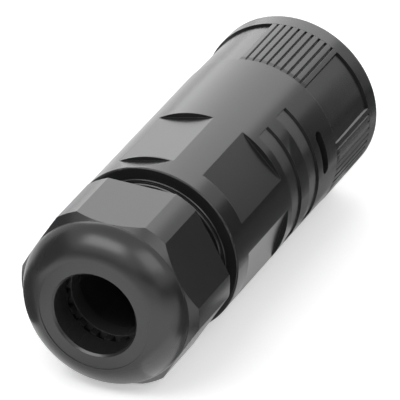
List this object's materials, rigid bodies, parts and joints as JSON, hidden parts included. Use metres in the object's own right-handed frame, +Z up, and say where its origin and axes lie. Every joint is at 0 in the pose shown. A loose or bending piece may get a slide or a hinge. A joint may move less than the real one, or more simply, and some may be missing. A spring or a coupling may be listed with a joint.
{
  "type": "ac power connector",
  "caption": "Round black cable-mounted power connector: ribbed shell with wrench flats and latch window, mating socket with pins in front, domed hexagon gland nut for the cable behind.",
  "frame": {"origin": "centre of the mating rim, on the axis of the connector", "axes": "+Y along the axis towards the mating half, +Z up as it lies on a table, -Y towards the cable"},
  "size_m": [0.0354, 0.0895, 0.0338],
  "materials": {
    "shell_plastic": "satin moulded",
    "nut_plastic": "satin moulded",
    "slip_plastic": "smooth moulded",
    "chuck_plastic": "smooth moulded",
    "insert_plastic": "smooth moulded",
    "seal_rubber": "dull",
    "contact_brass": "tin plated, bright",
    "screw_steel": "zinc plated"
  },
  "bodies": {
    "housing": {"housing": "shell_plastic", "front_ring": "shell_plastic", "chuck": "chuck_plastic", "contact_carrier": "insert_plastic", "carrier_cap": "insert_plastic", "socket_seal": "seal_rubber", "carrier_o_ring": "seal_rubber", "cable_seal": "seal_rubber", "neck_gasket": "seal_rubber", "line_contact": "contact_brass", "line_terminal_screw": "screw_steel", "line_wire_guard": "screw_steel", "neutral_contact": "contact_brass", "neutral_terminal_screw": "screw_steel", "neutral_wire_guard": "screw_steel", "earth_contact": "contact_brass", "earth_terminal_screw": "screw_steel", "earth_wire_guard": "screw_steel"},
    "slip_ring": {"slip_ring": "slip_plastic"},
    "gland_nut": {"gland_nut": "nut_plastic"}
  },
  "joints": [
    {"name": "nut_advance", "type": "slide", "parent": "housing", "child": "slip_ring", "axis": [0, -1, 0], "range_m": [0, 0.006]},
    {"name": "nut_turn", "type": "hinge", "parent": "slip_ring", "child": "gland_nut", "pos_m": [0, -0.0787, 0], "axis": [0, -1, 0], "range_deg": [0, 1440]}
  ],
  "couplings": [
    {"joint": "nut_advance", "follows": "nut_turn", "m_per_rad": 0.00023873}
  ]
}
